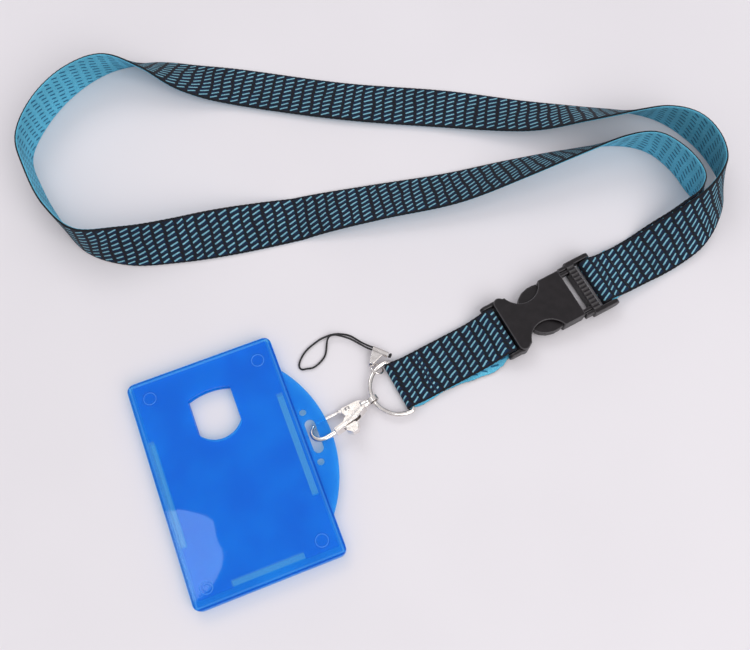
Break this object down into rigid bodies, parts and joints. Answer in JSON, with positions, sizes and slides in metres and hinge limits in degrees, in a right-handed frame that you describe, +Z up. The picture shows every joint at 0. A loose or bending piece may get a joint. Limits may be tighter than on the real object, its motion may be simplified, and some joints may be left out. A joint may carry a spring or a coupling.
{
  "type": "lanyard",
  "caption": "Neck lanyard lying flat: printed webbing loop, side-release buckle, tail strap with D-ring, phone loop, swivel clasp and a plastic card holder.",
  "frame": {"origin": "middle of the bounding box at its bottom, on the table", "axes": "+X along the longest side, from the neck loop's left turn to its right turn; +Y away from the front, from the card holder to the neck loop; +Z up from the table"},
  "size_m": [0.2978, 0.2372, 0.0213],
  "materials": {
    "webbing": "woven polyester, black with light blue dashes, blue on the inner face",
    "thread": "matt thread",
    "black_plastic": "satin",
    "nickel": "bright nickel plate",
    "cord": "braided cord",
    "blue_plastic": "translucent gloss"
  },
  "bodies": {
    "neck": {"neck_strap": "webbing", "neck_strap_stitching": "thread", "buckle_plug": "black_plastic", "buckle_socket": "black_plastic"},
    "latch_left": {"latch_arm_left": "black_plastic"},
    "latch_right": {"latch_arm_right": "black_plastic"},
    "tail": {"tail_strap": "webbing", "tail_strap_stitching": "thread"},
    "ring": {"d_ring": "nickel"},
    "link": {"phone_loop_link": "nickel"},
    "phone_loop": {"phone_loop_crimp": "nickel", "phone_loop_cord": "cord", "phone_loop_knot": "cord"},
    "swivel_eye": {"clasp_swivel_eye": "nickel"},
    "clasp": {"clasp_body": "nickel", "clasp_trigger_pin": "nickel", "clasp_spring": "nickel"},
    "trigger": {"clasp_trigger": "nickel"},
    "card": {"card_holder": "blue_plastic"}
  },
  "joints": [
    {"name": "latch_left_press", "type": "hinge", "parent": "neck", "child": "latch_left", "pos_m": [0.08069, 0.01464, 0.0041], "axis": [0, 0, 1], "range_deg": [0, 5.5], "stiffness_Nm_per_rad": 0.05},
    {"name": "latch_right_press", "type": "hinge", "parent": "neck", "child": "latch_right", "pos_m": [0.08919, -0.001, 0.0041], "axis": [0, 0, -1], "range_deg": [0, 5.5], "stiffness_Nm_per_rad": 0.05},
    {"name": "tail_swing", "type": "hinge", "parent": "neck", "child": "tail", "pos_m": [0.05031, -0.01198, 0.004], "axis": [-0.4772, 0.8788, 0], "range_deg": [-30, 60]},
    {"name": "ring_tilt", "type": "hinge", "parent": "tail", "child": "ring", "pos_m": [0.01059, -0.03355, 0.00215], "axis": [0.4772, -0.8788, 0], "range_deg": [-45, 45]},
    {"name": "link_swing", "type": "hinge", "parent": "ring", "child": "link", "pos_m": [0.00128, -0.02668, 0.00245], "axis": [-0.6626, -0.749, 0], "range_deg": [-25, 25]},
    {"name": "phone_loop_swing", "type": "hinge", "parent": "link", "child": "phone_loop", "pos_m": [-0.00067, -0.02496, 0.00245], "axis": [-0.5076, -0.5737, 0.6428], "range_deg": [-17, 20]},
    {"name": "eye_tilt", "type": "hinge", "parent": "ring", "child": "swivel_eye", "pos_m": [-0.00015, -0.03938, 0.0029], "axis": [-0.4772, 0.8788, 0], "range_deg": [-25, 25]},
    {"name": "clasp_swivel", "type": "hinge", "parent": "swivel_eye", "child": "clasp", "pos_m": [-0.00033, -0.0395, 0.0032], "axis": [-0.848, -0.5299, 0], "continuous": true},
    {"name": "trigger_pull", "type": "hinge", "parent": "clasp", "child": "trigger", "pos_m": [-0.00997, -0.0437, 0.00227], "axis": [-0.2729, 0.4368, 0.8572], "range_deg": [0, 8], "stiffness_Nm_per_rad": 0.01},
    {"name": "card_swing", "type": "hinge", "parent": "clasp", "child": "card", "pos_m": [-0.02339, -0.05411, 0.0033], "axis": [0, 0, 1], "range_deg": [-4, 20]}
  ]
}
